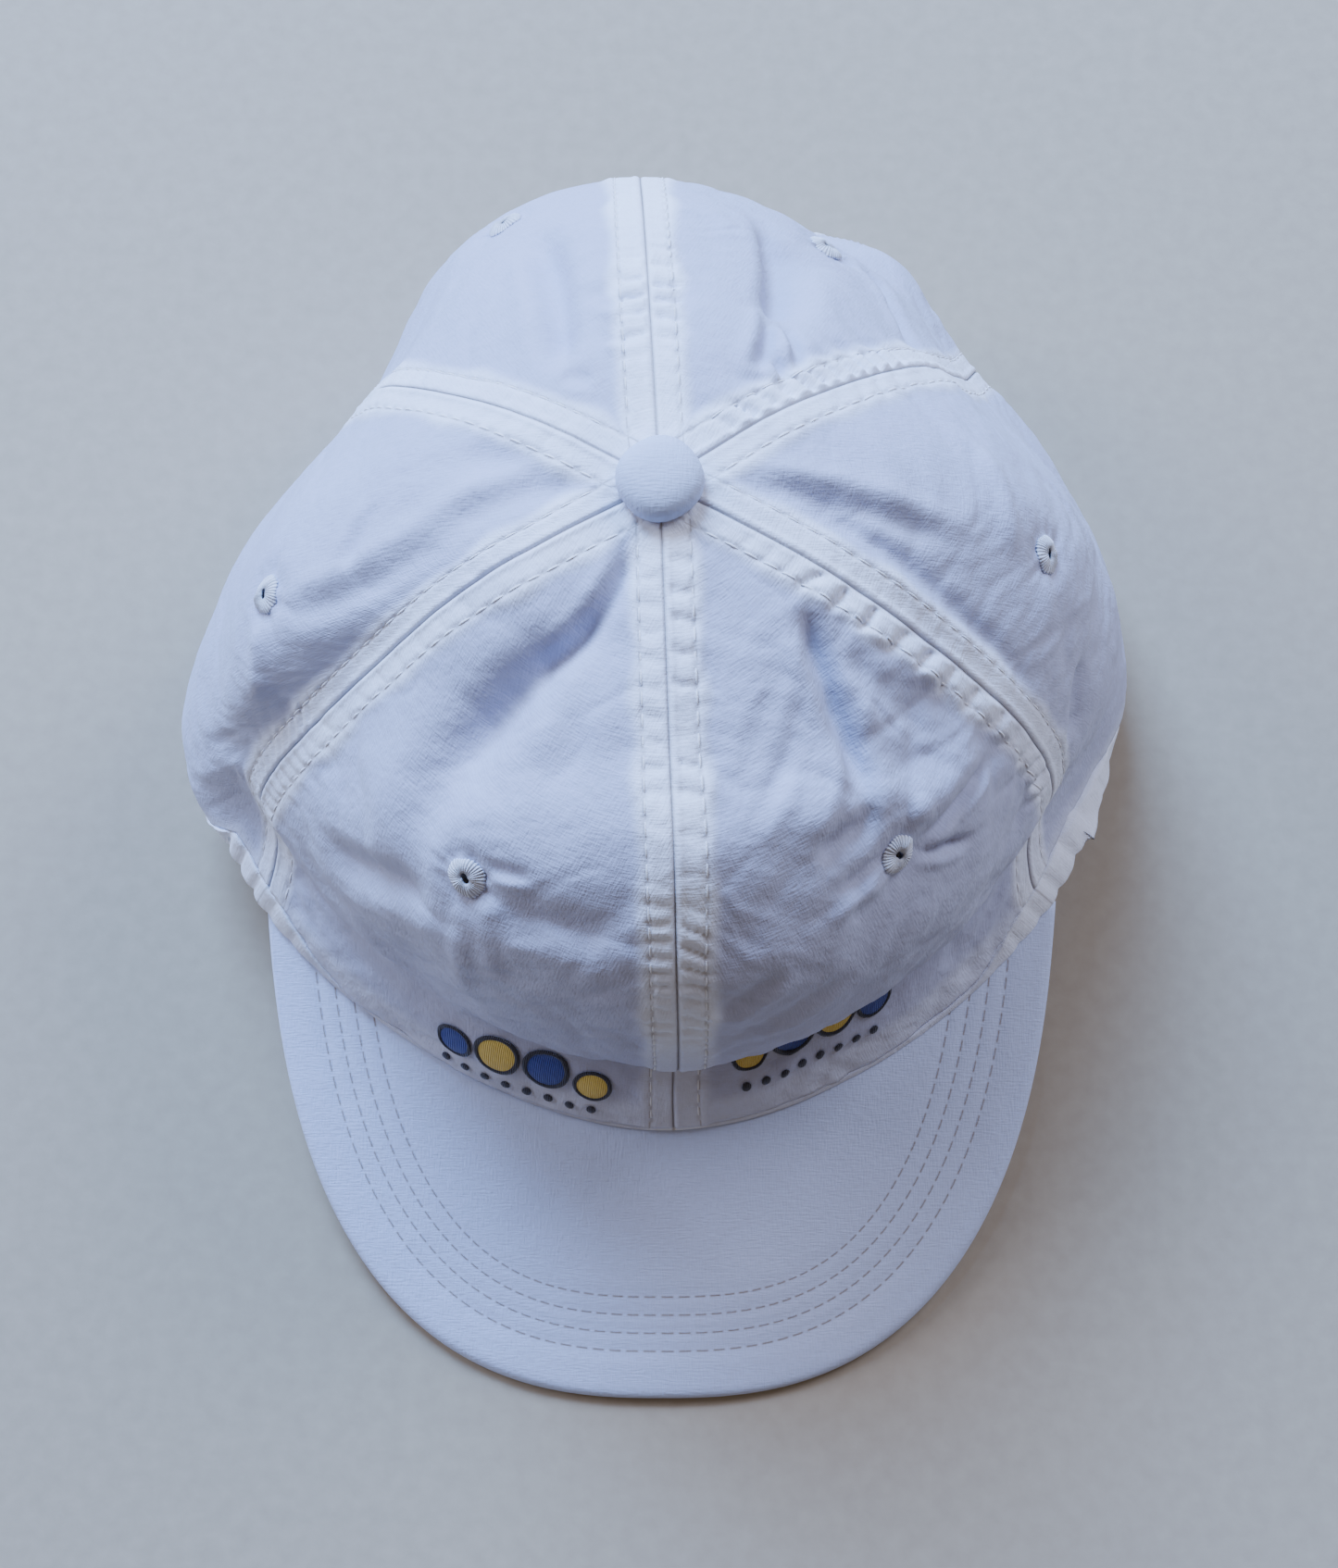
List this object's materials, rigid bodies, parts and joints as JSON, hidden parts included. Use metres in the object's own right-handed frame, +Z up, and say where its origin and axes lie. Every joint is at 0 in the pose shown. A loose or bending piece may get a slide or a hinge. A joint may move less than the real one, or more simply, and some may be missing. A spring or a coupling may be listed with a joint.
{
  "type": "strapback cap",
  "caption": "Unstructured cotton strapback cap with a slumped panelled crown, covered top button, thread eyelets, curved peak, back arch, strap and buckle.",
  "frame": {"origin": "on the table under the middle of the cap's footprint, hem and peak tip resting on z = 0", "axes": "+Z up through the top button, -Y the way the peak points, +X to the right seen from the front"},
  "size_m": [0.2048, 0.2476, 0.1183],
  "materials": {
    "crown_cotton": "plain-weave white cotton, matt",
    "hem_cotton": "folded white cotton, matt",
    "peak_cotton": "white cotton over a stiff board, matt",
    "button_cotton": "white cotton over a round former, matt",
    "eyelet_thread": "white embroidery thread, soft sheen",
    "strap_cotton": "folded white cotton, matt",
    "buckle_metal": "brushed"
  },
  "bodies": {
    "root": {"crown_front_left": "crown_cotton", "crown_front_right": "crown_cotton", "crown_side_left": "crown_cotton", "crown_side_right": "crown_cotton", "crown_back_left": "crown_cotton", "crown_back_right": "crown_cotton", "rim_hem": "hem_cotton", "peak": "peak_cotton", "top_button": "button_cotton", "eyelet_front_left": "eyelet_thread", "eyelet_front_right": "eyelet_thread", "eyelet_side_left": "eyelet_thread", "eyelet_side_right": "eyelet_thread", "eyelet_back_left": "eyelet_thread", "eyelet_back_right": "eyelet_thread", "back_strap": "strap_cotton", "strap_buckle": "buckle_metal"}
  },
  "joints": []
}
